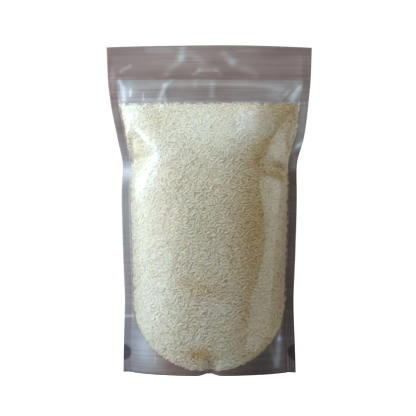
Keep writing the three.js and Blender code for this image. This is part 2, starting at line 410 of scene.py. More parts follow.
# Painted highlights along lines where the film is bent, and painted shade beside them: start, end,
# reach and amount.
SMOKE_HIGHLIGHT_AND_SHADE_LINES = [
    ((-55, 285), (-33, 284), 2.4, 0.10),
    ((25, 284), (56, 285), 2.4, 0.08),
    ((-23.5, 285), (-25, 276.6), 3.6, 0.21),
    ((-25, 276.6), (-38, 263), 3.6, 0.14),
    ((-17, 281), (-6, 274), 3.6, 0.09),
    ((13, 280), (20, 273), 3.8, 0.19),
    ((20, 273), (41, 262), 3.4, 0.13),
    ((-14, 262), (-9, 266), 1.9, 0.13),
    ((-9, 266), (6, 266), 1.9, 0.13),
    ((6, 266), (10.5, 262), 1.9, 0.13),
    ((-78, 265.7), (-69.6, 270.5), 1.8, 0.16),
    ((-87, 260), (-48, 258.5), 1.0, 0.08),
    ((-79.3, 257), (-76.3, 250), 1.7, 0.32),
    ((-76.3, 250), (-75, 240), 2.0, 0.36),
    ((-69.3, 248.8), (-69.3, 242.6), 0.9, 0.35),
    ((-57.7, 246), (-57.7, 239), 0.9, 0.25),
    ((-33, 256.5), (-39, 252.5), 1.4, 0.15),
    ((-39, 252.5), (-43.6, 240), 2.2, 0.26),
    ((-38, 243), (-38, 239), 0.9, 0.20),
    ((2.7, 253.5), (2.7, 242.6), 2.6, 0.13),
    ((-12.5, 256), (-12.5, 251), 1.8, 0.08),
    ((79.8, 254.7), (65.3, 239), 1.3, -0.14),
    ((78.8, 251.5), (73, 240), 2.8, 0.32),
    ((-75, 49), (-66, 50), 1.0, 0.34),
    ((-47, 17), (-47, 10), 0.9, 0.12),
    ((66, 190), (80, 200), 3.0, 0.25),
    ((62, 47), (61, 30), 1.8, 0.40),
    ((61, 30), (59, 8), 3.4, 0.46),
    ((52, 28), (57, 10), 1.6, 0.16),
    ((78, 199), (84, 204), 1.4, 0.35),
]


def painted(x, z, patches, lines):
    """The sum of soft patches and soft lines at a place on a panel."""
    level = 0 * x
    for (middle_x, middle_z), reach_x, reach_z, amount in patches:
        level = level + amount * bell(x - middle_x, reach_x) * bell(z - middle_z, reach_z)
    for start, end, reach, amount in lines:
        level = level + amount * bell(near_line(x, z, start, end)[0], reach)
    return level


def smoke_and_painted_light(panel, x, z):
    low = 1 - smoothstep(z, *WAIST)
    level = HAZE + LIGHTER_BELOW_WAIST * low
    # Painted shade on the upper right.
    level = level + SHADE_UPPER_RIGHT * smoothstep(x, *UPPER_RIGHT) * (1 - low)
    tent = smoothstep(z, *TENT_FOOT) * (1 - smoothstep(z, *TENT_TOP))
    past_pocket = np.abs(x) - half_width(z, x) + SEAL_WIDTH
    # Painted reflection of the soft boxes in the tent.
    level = level + TENT_REFLECTION * tent * (1 - smoothstep(past_pocket, *TENT_SIDE))
    # Painted shadow low on the right of the front, and patches and lines of painted highlight and shade.
    if panel == FRONT:
        level = level + SHADOW_LOWER_RIGHT * low * smoothstep(x, *LOWER_RIGHT)
        level = level + painted(x, z, SMOKE_HIGHLIGHT_AND_SHADE_PATCHES, SMOKE_HIGHLIGHT_AND_SHADE_LINES)
    return np.clip(level, 0, 1)


# How milky the film looks where it stands off the grains: a painted reflection in the taut film.
MILKY_REFLECTION = 0.10
# Where the taut film turns to the window and shines: down its left side, and along lines given by
# start, end, reach and amount.
SHINE_LEFT = 0.025
SHINE_SIDE = (48, 70)
SHINE_LINES = [
    ((-64, 214), (-47, 197), 1.2, 0.075),
    ((-70, 226), (-72, 212), 2.2, 0.10),
    ((-46, 190), (-58, 168), 2.4, 0.07),
    ((-58, 176), (-62, 156), 3.0, 0.05),
    ((-42, 236), (-42, 228), 0.9, 0.14),
    ((28, 227), (52, 213), 8.0, 0.035),
    ((73, 226), (71, 204), 0.9, 0.10),
]


def shine(panel, x, z):
    if panel == BACK:
        return 0 * x
    return SHINE_LEFT * smoothstep(-x, *SHINE_SIDE) + painted(x, z, [], SHINE_LINES)


# How much the light of the window cools the smoky film: down the left, less above the shoulder,
# and most in the two lower corners.
COOL_LEFT = 0.22
COOL_SHOULDER = -0.12
COOL_LEFT_CORNER = 0.78
COOL_RIGHT_CORNER = 0.85
LEFT_SIDE = (40, 68)
RIGHT_SIDE = (20, 60)
SHOULDER = (190, 210)
LEFT_CORNER_TOP = (34, 56)
RIGHT_CORNER_TOP = (40, 56)


def cool(panel, x, z):
    if panel == BACK:
        return 0 * x
    left = COOL_LEFT + COOL_SHOULDER * smoothstep(z, *SHOULDER)
    left = left + COOL_LEFT_CORNER * (1 - smoothstep(z, *LEFT_CORNER_TOP))
    right = COOL_RIGHT_CORNER * (1 - smoothstep(z, *RIGHT_CORNER_TOP))
    return left * smoothstep(-x, *LEFT_SIDE) + right * smoothstep(x, *RIGHT_SIDE)


def lift(x, z):
    """How far the film is lifted: up in a notch at its foot, and down at the ends of its top."""
    notch = NOTCH_HEIGHT * bell(x - NOTCH_MIDDLE, NOTCH_REACH) * np.clip(1 - z / NOTCH_FADE, 0, 1)
    return notch - TOP_DROOP * smoothstep(z, RICE_TOP, HEIGHT) * (x / half_width(z)) ** 2


def film_web(name, panel):
    """A front or back film, with its looks stored on its points."""
    heights = np.linspace(0, HEIGHT, FILM_ROWS)
    x = pouch_columns(heights)
    if panel == BACK:
        x = x[:, ::-1]
    z = np.repeat(heights[:, None], x.shape[1], axis=1)
    y = panel * film_depth(panel, x, z) - forward(x, z)
    grid = np.stack([x, y, z + lift(x, z)], axis=-1)
    looks = {
        "empty": emptiness(x, z),
        "punched": punched(x, z),
        "smoke_and_painted_light": smoke_and_painted_light(panel, x, z),
        "milky_reflection": MILKY_REFLECTION * stands_off(panel, x, z),
        "cool": cool(panel, x, z),
        "shine": shine(panel, x, z),
    }
    return film_sheet(name, grid, looks)


def add_node(tree, kind, settings=(), **inputs):
    """A node with its settings. Its inputs, by name or as _0 by number, are values or sockets."""
    made = tree.nodes.new(kind)
    for key, value in dict(settings).items():
        setattr(made, key, value)
    for key, value in inputs.items():
        numbered = key[1:].isdigit()
        socket = made.inputs[int(key[1:]) if numbered else key.replace("_", " ")]
        if isinstance(value, bpy.types.NodeSocket):
            tree.links.new(value, socket)
        else:
            socket.default_value = value
    return made


def new_material(name):
    material = bpy.data.materials.new(name)
    material.use_nodes = True
    material.node_tree.nodes.clear()
    return material, material.node_tree


def attribute(tree, label):
    return add_node(tree, "ShaderNodeAttribute", {"attribute_name": label}).outputs["Fac"]


def math_node(tree, operation, *values):
    """The output of a maths node, from values or the sockets that feed them."""
    inputs = {f"_{number}": value for number, value in enumerate(values)}
    return add_node(tree, "ShaderNodeMath", {"operation": operation}, **inputs).outputs[0]


def multiplied(tree, share, colour, by):
    """A colour multiplied by another one, as far as the share says."""
    settings = {"data_type": "RGBA", "blend_type": "MULTIPLY"}
    return add_node(tree, "ShaderNodeMix", settings, _0=share, _6=colour, _7=by).outputs[2]


def noise(tree, place, scale, detail):
    made = add_node(tree, "ShaderNodeTexNoise", Vector=place, Scale=scale, Detail=detail)
    return made.outputs["Fac"]


def colour_ramp(tree, value, *stops):
    """Colours by value. Each stop is a position and its colour, from low to high."""
    ramp = add_node(tree, "ShaderNodeValToRGB", Fac=value)
    low, high = ramp.color_ramp.elements
    low.position, low.color = stops[0]
    high.position, high.color = stops[-1]
    for position, colour in stops[1:-1]:
        ramp.color_ramp.elements.new(position).color = colour
    return ramp.outputs["Color"]


def mixed(tree, share, first, second):
    """A mix of two shaders, by the share of the second."""
    shaders = {"_1": first.outputs[0], "_2": second.outputs[0]}
    return add_node(tree, "ShaderNodeMixShader", Fac=share, **shaders)


def drawn_lines():
    """A group that gives the fine level streaks of extruded film and plastic."""
    tree = bpy.data.node_groups.new("drawn lines", "ShaderNodeTree")
    tree.interface.new_socket("Stretch", in_out="INPUT", socket_type="NodeSocketVector")
    tree.interface.new_socket("Detail", in_out="INPUT", socket_type="NodeSocketFloat")
    tree.interface.new_socket("Lines", in_out="OUTPUT", socket_type="NodeSocketFloat")
    given = tree.nodes.new("NodeGroupInput").outputs
    place = add_node(tree, "ShaderNodeTexCoord").outputs["Object"]
    stretched = add_node(tree, "ShaderNodeMapping", Vector=place, Scale=given["Stretch"]).outputs[0]
    add_node(tree, "NodeGroupOutput", Lines=noise(tree, stretched, 1.0, given["Detail"]))
    return tree


streak_group = drawn_lines()


def streaks(tree, stretch, detail):
    group = {"node_tree": streak_group}
    return add_node(tree, "ShaderNodeGroup", group, Stretch=stretch, Detail=detail).outputs["Lines"]


# The smoke's colours from brown, for painted shadow, to a cool bright haze, for painted reflection,
# its streaks, and how much streaks and patches count.
SMOKE_SHADE_TO_HIGHLIGHT = [
    (0.0, (0.08, 0.055, 0.045, 1)),
    (0.45, (0.295, 0.200, 0.186, 1)),
    (0.62, (0.385, 0.343, 0.335, 1)),
    (1.0, (0.71, 0.72, 0.76, 1)),
]
SMOKE_STRETCH = (14.0, 14.0, 420.0)
UNEVEN = 0.3
# What its colour is multiplied by where the window cools it, and where the gusset is punched out.
COOLED = (0.91, 1.035, 1.23, 1)
PUNCHED_DARK = (0.32, 0.32, 0.34, 1)
# How the film mirrors the room, seen straight on, and how much more edge on.
MIRROR_STRAIGHT = 0.045
MIRROR_EDGE = 0.4
MIRROR_POWER = 5.0


def film_material():
    """Clear and glossy over the rice, and smoky where films lie on each other with none between."""
    material, tree = new_material("clear film")
    place = add_node(tree, "ShaderNodeTexCoord").outputs["Object"]

    peel = noise(tree, place, 110.0, 2.0)
    bump = add_node(tree, "ShaderNodeBump", Strength=0.12, Distance=0.0006, Height=peel)
    normal = bump.outputs["Normal"]

    patches = noise(tree, place, 26.0, 3.0)
    mottle = math_node(tree, "ADD", streaks(tree, SMOKE_STRETCH, 3.0), patches)
    centred = math_node(tree, "SUBTRACT", mottle, 1.0)
    # The smoke's stored level carries its painted shade and painted highlights into its colour.
    uneven = math_node(tree, "MULTIPLY_ADD", centred, UNEVEN, attribute(tree, "smoke_and_painted_light"))
    tint = colour_ramp(tree, uneven, *SMOKE_SHADE_TO_HIGHLIGHT)
    cooled = multiplied(tree, attribute(tree, "cool"), tint, COOLED)
    darker = multiplied(tree, attribute(tree, "punched"), cooled, PUNCHED_DARK)

    through = add_node(tree, "ShaderNodeBsdfTransparent")
    white = (1, 1, 1, 1)
    gloss = add_node(tree, "ShaderNodeBsdfAnisotropic", Color=white, Roughness=0.38, Normal=normal)
    edge_on = add_node(tree, "ShaderNodeLayerWeight", Blend=0.5, Normal=normal).outputs["Facing"]
    steep = math_node(tree, "POWER", edge_on, MIRROR_POWER)
    mirror = math_node(tree, "MULTIPLY_ADD", steep, MIRROR_EDGE, MIRROR_STRAIGHT)
    bright = math_node(tree, "ADD", mirror, attribute(tree, "shine"))
    clear = mixed(tree, bright, through, gloss)
    # A milky layer where the film stands off the grains: a painted reflection.
    milky_reflection = add_node(tree, "ShaderNodeBsdfDiffuse", Color=(0.86, 0.82, 0.68, 1))
    hazy = mixed(tree, attribute(tree, "milky_reflection"), clear, milky_reflection)
    smoke = add_node(
        tree,
        "ShaderNodeBsdfPrincipled",
        Base_Color=darker,
        Roughness=0.26,
        Specular_IOR_Level=0.5,
        Alpha=0.94,
        Normal=normal,
    )
    seen = mixed(tree, attribute(tree, "empty"), hazy, smoke)
    # Film this thin throws no shadow on the rice behind it.
    shadow = add_node(tree, "ShaderNodeLightPath").outputs["Is Shadow Ray"]
    surface = mixed(tree, shadow, seen, through)
    add_node(tree, "ShaderNodeOutputMaterial", Surface=surface.outputs[0])
    return material


clear_film = film_material()
film_front = film_web("film_front", FRONT)
film_front.data.materials.append(clear_film)
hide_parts("pouch")
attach(film_front, "root")


# The back film. The other web of clear laminated film, welded to the front one down both sides.
# The rice swells it as far the other way, and it has creases of its own.
film_back = film_web("film_back", BACK)
film_back.data.materials.append(clear_film)
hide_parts("pouch")
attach(film_back, "root")


# The bottom gusset. A third web, folded in half and welded between the other two, that opens into
# a boat under the weight of the rice. Its wings line the corners of the front and back films.
FOLD_HEIGHT = 54.0
GUSSET_LOW = 3.0
GUSSET_HALF = 66.4
GUSSET_SAG = 4.6
GUSSET_HAZE = 0.47
GUSSET_COLUMNS = 110
GUSSET_LIFT = 0.1
WING_GAP = 0.22
SWOLLEN_GAP = 0.16
SWOLLEN = (0, 0.4)
OPENED = (0, 40)
WING_STEPS = 16
HULL_STEPS = 26


def gusset_height(x):
    """The height of the weld between the gusset and a panel."""
    share = np.clip(np.abs(x) / GUSSET_HALF, 0, 1)
    return FOLD_HEIGHT - (FOLD_HEIGHT - GUSSET_LOW) * np.sqrt(1 - share**2)


def gusset():
    """Two wings that lie inside the films up to the weld, and the hull between their welds."""
    columns = pouch_columns(np.array([PUNCH_HEIGHT]), GUSSET_COLUMNS)[0]
    weld = gusset_height(columns)
    upwards = np.linspace(0, 1, WING_STEPS)
    wings = []
    for panel, shares in ((FRONT, upwards), (BACK, upwards[::-1])):
        wing = []
        for share in shares:
            z = weld * share
            x = columns * half_width(z) / half_width(PUNCH_HEIGHT)
            y = panel * film_depth(panel, x, z) - forward(x, z)
            wing.append(np.stack([x, y, z + lift(x, z) + GUSSET_LIFT], axis=-1))
        wing = np.stack(wing)
        inward = np.cross(np.gradient(wing, axis=1), np.gradient(wing, axis=0))
        inward *= -panel * np.sign(inward[..., 1:2]) / np.linalg.norm(inward, axis=2, keepdims=True)
        depth = panel_depth(panel, wing[..., 0], wing[..., 2])
        gap = WING_GAP + SWOLLEN_GAP * smoothstep(depth, *SWOLLEN)
        wings.append(list(wing + gap[..., None] * inward))
    front, back = wings
    hull = []
    for share in np.linspace(0, 1, HULL_STEPS)[1:-1]:
        line = front[-1] * (1 - share) + back[0] * share
        opened = smoothstep(back[0][:, 1] - front[-1][:, 1], *OPENED)
        line[:, 2] -= GUSSET_SAG * opened * (1 - (2 * share - 1) ** 4)
        hull.append(line)
    grid = np.stack(front + hull + back)[:, ::-1]
    grid[..., 2] = np.maximum(grid[..., 2], GUSSET_LIFT)
    whole = np.ones(grid.shape[:2])
    return film_sheet("film_gusset", grid, {"empty": whole, "smoke_and_painted_light": GUSSET_HAZE * whole})


film_gusset = gusset()
film_gusset.data.materials.append(clear_film)
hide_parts("pouch")
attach(film_gusset, "root")


# The zip. Two extruded strips of translucent plastic, one on each web, that press together across
# the pouch under its header. The frame's own solids have their true profile.
ZIP_STRETCH = (8.0, 60.0, 900.0)


def zip_material():
    """Extruded plastic, with the fine lines that the die draws along it."""
    material, tree = new_material("zip plastic")
    lines = streaks(tree, ZIP_STRETCH, 2.0)
    tone = colour_ramp(tree, lines, (0.35, (0.40, 0.38, 0.38, 1)), (0.65, (0.52, 0.50, 0.50, 1)))
    bump = add_node(tree, "ShaderNodeBump", Strength=0.2, Distance=0.0002, Height=lines)
    plastic = add_node(
        tree,
        "ShaderNodeBsdfPrincipled",
        Base_Color=tone,
        Roughness=0.35,
        Normal=bump.outputs["Normal"],
    )
    add_node(tree, "ShaderNodeOutputMaterial", Surface=plastic.outputs[0])
    return material


zip_plastic = zip_material()
for node in ("zip_tongue", "zip_hooks"):
    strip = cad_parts[node]
    strip.data.materials.clear()
    strip.data.materials.append(zip_plastic)


# The rice inside. One kilogram of raw long-grain rice, packed tight by its own weight. This is the
# mass of it behind the grains that show, out to just under the film, with a level top.
CORE_INSET = 1.9
CORE_TOP = RICE_TOP - 1.0
LEAST_DEPTH = 0.3
RICE_SAG = 3.2
RICE_SAG_TOP = 30
ACROSS = 96
THROUGH = 16
FIRST_ANGLE = 0.06
U_ROWS = 30
UP_ROWS = 60


def rice_ring(z, inset, edge=0.0):
    """One level ring: along the front, through the bag, back along the back and through again."""
    share = np.sin(np.linspace(-np.pi / 2, np.pi / 2, ACROSS + 1))
    half = np.where(share < 0, rice_half_width(z), rice_half_width(z, 1))
    x = share * np.maximum(half - edge, 0)
    level = np.full_like(x, z)
    lines = []
    for panel in (FRONT, BACK):
        depth = np.maximum(panel_depth(panel, x, level) - inset, LEAST_DEPTH)
        lines.append(np.stack([x, panel * depth - forward(x, level), level], axis=-1))
    front, back = lines
    share = np.linspace(0, 1, THROUGH + 1)[1:-1, None]
    right = front[-1] * (1 - share) + back[-1] * share
    left = back[0] * (1 - share) + front[0] * share
    sag = RICE_SAG * np.clip(1 - z / RICE_SAG_TOP, 0, 1) * (1 - (2 * share[:, 0] - 1) ** 4)
    right[:, 2] -= sag
    left[:, 2] -= sag
    return {"front": front, "right": right, "back": back[::-1], "left": left}


def rice_levels(top):
    """Heights from the foot of the U to the top, close together where the U turns."""
    angle = np.linspace(FIRST_ANGLE, np.pi / 2, U_ROWS)
    low = RICE_U_TOP - (RICE_U_TOP - RICE_U_LOW) * np.cos(angle)
    return np.append(low, np.linspace(RICE_U_TOP, top, UP_ROWS)[1:])


def rice_core():
    rings = []
    for z in rice_levels(CORE_TOP):
        parts = rice_ring(z, CORE_INSET)
        rings.append(np.vstack([parts["front"], parts["right"], parts["back"], parts["left"]]))
    rings = np.stack(rings)
    count, around = rings.shape[:2]
    faces = grid_faces(count, around, closed=True).tolist()
    lids = [list(range(around))[::-1], list(range((count - 1) * around, count * around))]
    return mesh_piece("rice_core", rings.reshape(-1, 3), faces + lids)


# How pale the rice is painted, from 0 for tan to 1 for ivory: palest on the left, in painted light
# from the windows, and under the header, and tan down the right, in painted shade.
PALE = 0.52
PAINTED_LIGHT_LEFT = 0.30
PAINTED_SHADE_RIGHT = -0.38
# Paler where the film stands off the grains, a painted reflection.
PAINTED_SHEEN_OFF_GRAINS = 0.22
LEFT_HALF = (-4, 66)
RIGHT_HALF = (6, 52)
PALE_BEHIND = 0.55
PALE_CLOUDS = 0.12
PALE_CLOUD_LENGTH = 60
SIDE_BLEND = (-8, 8)
# Soft patches of painted highlight and painted shade on the front: middle, reach across, reach up and
# amount.
PALE_HIGHLIGHT_AND_SHADE_PATCHES = [
    ((-60, 170), 9, 11, 0.30),
    ((-70, 229), 8, 9, 0.30),
    ((0, 212), 50, 20, 0.15),
    ((-48, 222), 20, 14, -0.28),
    ((-66, 198), 9, 9, -0.34),
    ((-42, 150), 18, 60, -0.17),
    ((-74, 130), 8, 60, 0.12),
    ((-45, 70), 20, 40, 0.10),
    ((36, 125), 17, 48, -0.22),
    ((33, 50), 10, 25, -0.12),
    ((35, 217), 25, 19, 0.40),
    ((-8, 18), 13, 7, -0.42),
    ((-13, 19), 4, 3, -0.20),
    ((-2, 17), 4, 3, -0.24),
    ((-11, 31), 7, 4, 0.22),
    ((9, 60), 14, 8, 0.16),
    ((15, 11), 7, 5, 0.32),
]
# Lines of painted highlight and painted shade: start, end, reach and amount.
PALE_HIGHLIGHT_AND_SHADE_LINES = [
    ((74, 229), (44, 190), 6.0, -0.28),
    ((26, 236), (8, 214), 7.0, -0.22),
    ((42, 184), (67, 172), 4.5, -0.26),
    ((-22, 80), (10, 70), 7.0, -0.26),
    ((-63, 212), (-44, 192), 2.4, 0.35),
    ((-44, 192), (-53, 166), 4.5, 0.30),
    ((75, 226), (72, 202), 1.2, 0.18),
]


def pale(panel, x, z):
    if panel == BACK:
        return PALE_BEHIND + PALE_CLOUDS * ripples(x, z, PALE_CLOUD_LENGTH, seed=23)
    # Painted light on the left and painted shade on the right.
    level = PALE + PAINTED_LIGHT_LEFT * smoothstep(-x, *LEFT_HALF) + PAINTED_SHADE_RIGHT * smoothstep(x, *RIGHT_HALF)
    level = level + painted(x, z, PALE_HIGHLIGHT_AND_SHADE_PATCHES, PALE_HIGHLIGHT_AND_SHADE_LINES)
    return np.clip(level + PAINTED_SHEEN_OFF_GRAINS * stands_off(panel, x, z), 0, 1)


def vectors_of(points, key):
    """A vector of each of a mesh's points, one to a row."""
    vectors = np.empty(3 * len(points))
    points.foreach_get(key, vectors)
    return vectors.reshape(-1, 3)


def add_pale_and_painted_light(mesh):
    """Store on every point of a mesh how pale the rice is there, with its painted light and shade."""
    x, y, z = (vectors_of(mesh.vertices, "co") / MM).T
    in_front = smoothstep(-y - forward(x, z), *SIDE_BLEND)
    values = in_front * pale(FRONT, x, z) + (1 - in_front) * pale(BACK, x, z)
    layer = mesh.attributes.new("pale", "FLOAT", "POINT")
    layer.data.foreach_set("value", values.astype(np.float32))


# The colours of buried, dark and light grains, for tan rice, as in painted shade, and for ivory, as in
# painted light, and the slight hues that these are multiplied by. The buried colour is painted shade
# in the gaps between grains.
SHADED_TAN = [
    (0.0, (0.36, 0.21, 0.085, 1)),
    (0.45, (0.57, 0.355, 0.155, 1)),
    (1.0, (0.71, 0.478, 0.225, 1)),
]
LIT_IVORY = [
    (0.0, (0.72, 0.635, 0.475, 1)),
    (0.45, (0.885, 0.825, 0.685, 1)),
    (1.0, (0.98, 0.932, 0.828, 1)),
]
HUES = [(0.35, (0.97, 0.995, 0.94, 1)), (0.65, (1.0, 0.965, 0.97, 1))]
# How much a fine noise and broad clouds add to a grain's tone.
FINE_TONE = 0.5
CLOUD_TONE = 0.6


def rice_colours():
    """A group that gives the colour and fine relief of rice from a grain's tone and paleness, which
    carry painted light and shade.
    """
    tree = bpy.data.node_groups.new("rice colours", "ShaderNodeTree")
    for label in ("Tone", "Pale"):
        tree.interface.new_socket(label, in_out="INPUT", socket_type="NodeSocketFloat")
    tree.interface.new_socket("Color", in_out="OUTPUT", socket_type="NodeSocketColor")
    tree.interface.new_socket("Grain", in_out="OUTPUT", socket_type="NodeSocketFloat")
    given = tree.nodes.new("NodeGroupInput").outputs
    place = add_node(tree, "ShaderNodeTexCoord").outputs["Object"]
    fine = noise(tree, place, 900.0, 2.0)
    toned = math_node(tree, "MULTIPLY_ADD", fine, FINE_TONE, given["Tone"])
    clouds = noise(tree, place, 22.0, 2.0)
    cloudy = math_node(tree, "MULTIPLY_ADD", clouds, CLOUD_TONE, toned)
    shaded_tan, lit_ivory = colour_ramp(tree, cloudy, *SHADED_TAN), colour_ramp(tree, cloudy, *LIT_IVORY)
    both = add_node(tree, "ShaderNodeMix", {"data_type": "RGBA"}, _0=given["Pale"], _6=shaded_tan, _7=lit_ivory)
    hue = colour_ramp(tree, noise(tree, place, 120.0, 1.0), *HUES)
    tinted = multiplied(tree, 1.0, both.outputs[2], hue)
    add_node(tree, "NodeGroupOutput", Color=tinted, Grain=fine)
    return tree


rice_look = rice_colours()


def rice_material(name, packed):
    """Rice, faintly waxy. Packed rice has dents between its grains, which single grains don't need."""
    material, tree = new_material(name)
    # The tone carries painted shade in the gaps, and the paleness painted light and shade.
    tone, pale_and_light = attribute(tree, "tone"), attribute(tree, "pale")
    look = add_node(tree, "ShaderNodeGroup", {"node_tree": rice_look}, Tone=tone, Pale=pale_and_light)
    height, strength, distance = look.outputs["Grain"], 0.15, 0.0001
    if packed:
        place = add_node(tree, "ShaderNodeTexCoord").outputs["Object"]
        cells = add_node(tree, "ShaderNodeTexVoronoi", Vector=place, Scale=420.0)
        height, strength, distance = cells.outputs["Distance"], 0.6, 0.0008
    bump = add_node(tree, "ShaderNodeBump", Strength=strength, Distance=distance, Height=height)
    body = add_node(
        tree,
        "ShaderNodeBsdfPrincipled",
        Base_Color=look.outputs["Color"],
        Roughness=0.6,
        Specular_IOR_Level=0.12,
        Subsurface_Weight=0.5,
        Subsurface_Radius=(1.0, 0.8, 0.5),
        Subsurface_Scale=0.002,
        Normal=bump.outputs["Normal"],
    )
    add_node(tree, "ShaderNodeOutputMaterial", Surface=body.outputs[0])
    return material


core = rice_core()
add_pale_and_painted_light(core.data)
core.data.materials.append(rice_material("packed rice", packed=True))
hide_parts("pouch")
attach(core, "root")


# The grains that show: thousands of single grains pressed against the film, lying along it in all
# directions and a little over and under each other, with loose ones on the level top.
GRAIN_LENGTH = 5.9
GRAIN_WIDTH = 1.9
GRAIN_FLATNESS = 0.62
GRAIN_RINGS = [(-0.62, 0.78), (0.04, 1.0), (0.65, 0.74)]
GRAIN_SIDES = 5
GRAIN_BOW = 0.16
GRAIN_POINTS = 2 + GRAIN_SIDES * len(GRAIN_RINGS)
SMALLEST_GRAIN = (0.72, 0.82, 0.86)
LARGEST_GRAIN = (1.06, 1.04, 1.1)
GRAINS_PER_SQUARE_METRE = 2.0e6
# Deep grains are painted darker, as painted shade in the gaps, by this at most, and only the deepest
# by much.
DEEP_SHADE = -0.9
DEEP_POWER = 5.0
# Straight up, but never quite along a surface's normal.
UPRIGHT = (0, 0.02, 1)
GRAIN_INSET = 1.3
GRAIN_EDGE = 1.8
SEAL_GAP = 0.3
PRESSED_GAP = 0.3
GRAIN_LEAN = 0.9
LEAN_FACING = (-0.4, 0.2)


def one_grain():
    """A grain with its length along X, slightly curved, with 30 faces."""
    points = [(-GRAIN_LENGTH / 2, 0, 0)]
    for along, width in GRAIN_RINGS:
        for side in range(GRAIN_SIDES):
            angle = 2 * math.pi * side / GRAIN_SIDES
            radius = width * GRAIN_WIDTH / 2
            y = radius * math.cos(angle) + GRAIN_BOW * (1 - along**2)
            points.append((along * GRAIN_LENGTH / 2, y, GRAIN_FLATNESS * radius * math.sin(angle)))
    points.append((GRAIN_LENGTH / 2, 0, 0))
    last = len(points) - 1
    faces = []
    for side in range(GRAIN_SIDES):
        after = (side + 1) % GRAIN_SIDES
        faces.append((0, 1 + after, 1 + side))
        for ring in range(len(GRAIN_RINGS) - 1):
            low, high = 1 + ring * GRAIN_SIDES, 1 + (ring + 1) * GRAIN_SIDES
            faces.append((low + side, low + after, high + after, high + side))
        top = 1 + (len(GRAIN_RINGS) - 1) * GRAIN_SIDES
        faces.append((top + side, top + after, last))
    return mesh_piece("grain", points, faces)


def scatter_tree():
    """Geometry nodes that lay grains on a surface."""
    tree = bpy.data.node_groups.new("grains on a surface", "GeometryNodeTree")
    tree.is_modifier = True
    sockets = [
        ("Surface", "NodeSocketGeometry"),
        ("Grain", "NodeSocketObject"),
        ("Material", "NodeSocketMaterial"),
        ("Spacing", "NodeSocketFloat"),
        ("Tilt", "NodeSocketFloat"),
        ("Heading", "NodeSocketFloat"),
        ("Depth", "NodeSocketFloat"),
        ("Seed", "NodeSocketInt"),
    ]
    for label, kind in sockets:
        tree.interface.new_socket(label, in_out="INPUT", socket_type=kind)
    tree.interface.new_socket("Grains", in_out="OUTPUT", socket_type="NodeSocketGeometry")
    given = tree.nodes.new("NodeGroupInput").outputs

    spread = add_node(
        tree,
        "GeometryNodeDistributePointsOnFaces",
        {"distribute_method": "POISSON"},
        Mesh=given["Surface"],
        Distance_Min=given["Spacing"],
        Density_Max=GRAINS_PER_SQUARE_METRE,
        Seed=given["Seed"],
    )
    normal = spread.outputs["Normal"]
    level = add_node(tree, "ShaderNodeVectorMath", {"operation": "CROSS_PRODUCT"}, _0=UPRIGHT, _1=normal)
    axes = {"primary_axis": "Z", "secondary_axis": "X"}
    flat = add_node(tree, "FunctionNodeAxesToRotation", axes, _0=normal, _1=level.outputs[0])
    tilt = given["Tilt"]
    most = add_node(tree, "ShaderNodeCombineXYZ", X=tilt, Y=tilt, Z=given["Heading"]).outputs[0]
    scale = {"operation": "SCALE"}
    least = add_node(tree, "ShaderNodeVectorMath", scale, _0=most, Scale=-1.0).outputs[0]
    vector = {"data_type": "FLOAT_VECTOR"}
    turn = add_node(tree, "FunctionNodeRandomValue", vector, _0=least, _1=most, Seed=11)
    turned = add_node(tree, "FunctionNodeEulerToRotation", Euler=turn.outputs[0])
    heading = add_node(
        tree,
        "FunctionNodeRotateRotation",
        {"rotation_space": "LOCAL"},
        Rotation=flat.outputs[0],
        Rotate_By=turned.outputs[0],
    )
    size = add_node(
        tree, "FunctionNodeRandomValue", vector, _0=SMALLEST_GRAIN, _1=LARGEST_GRAIN, Seed=12
    )
    shape = add_node(tree, "GeometryNodeObjectInfo", Object=given["Grain"])
    laid = add_node(
        tree,
        "GeometryNodeInstanceOnPoints",
        Points=spread.outputs["Points"],
        Instance=shape.outputs["Geometry"],
        Rotation=heading.outputs[0],
        Scale=size.outputs[0],
    )
    deep = add_node(tree, "FunctionNodeRandomValue", {"data_type": "FLOAT"}, Seed=13).outputs[1]
    down = math_node(tree, "MULTIPLY", math_node(tree, "MULTIPLY", deep, given["Depth"]), -1.0)
    sunken = add_node(
        tree,
        "GeometryNodeTranslateInstances",
        Instances=laid.outputs[0],
        Translation=add_node(tree, "ShaderNodeCombineXYZ", Z=down).outputs[0],
    )
    random_tone = add_node(tree, "FunctionNodeRandomValue", {"data_type": "FLOAT"}, Seed=14).outputs[1]
    # Painted shade: the deepest grains, in the gaps, are made darker.
    gap_shade = math_node(tree, "POWER", deep, DEEP_POWER)
    toned = add_node(
        tree,
        "GeometryNodeStoreNamedAttribute",
        {"data_type": "FLOAT", "domain": "INSTANCE"},
        Geometry=sunken.outputs[0],
        Name="tone",
        Value=math_node(tree, "MULTIPLY_ADD", gap_shade, DEEP_SHADE, random_tone),
    )
    leaning = add_node(
        tree,
        "GeometryNodeStoreNamedAttribute",
        {"data_type": "FLOAT_VECTOR", "domain": "INSTANCE"},
        Geometry=toned.outputs[0],
        Name="outward",
        Value=normal,
    )
    real = add_node(tree, "GeometryNodeRealizeInstances", Geometry=leaning.outputs[0]).outputs[0]
    finished = add_node(tree, "GeometryNodeSetMaterial", Geometry=real, Material=given["Material"])
    add_node(tree, "NodeGroupOutput", Grains=finished.outputs[0])
    return tree


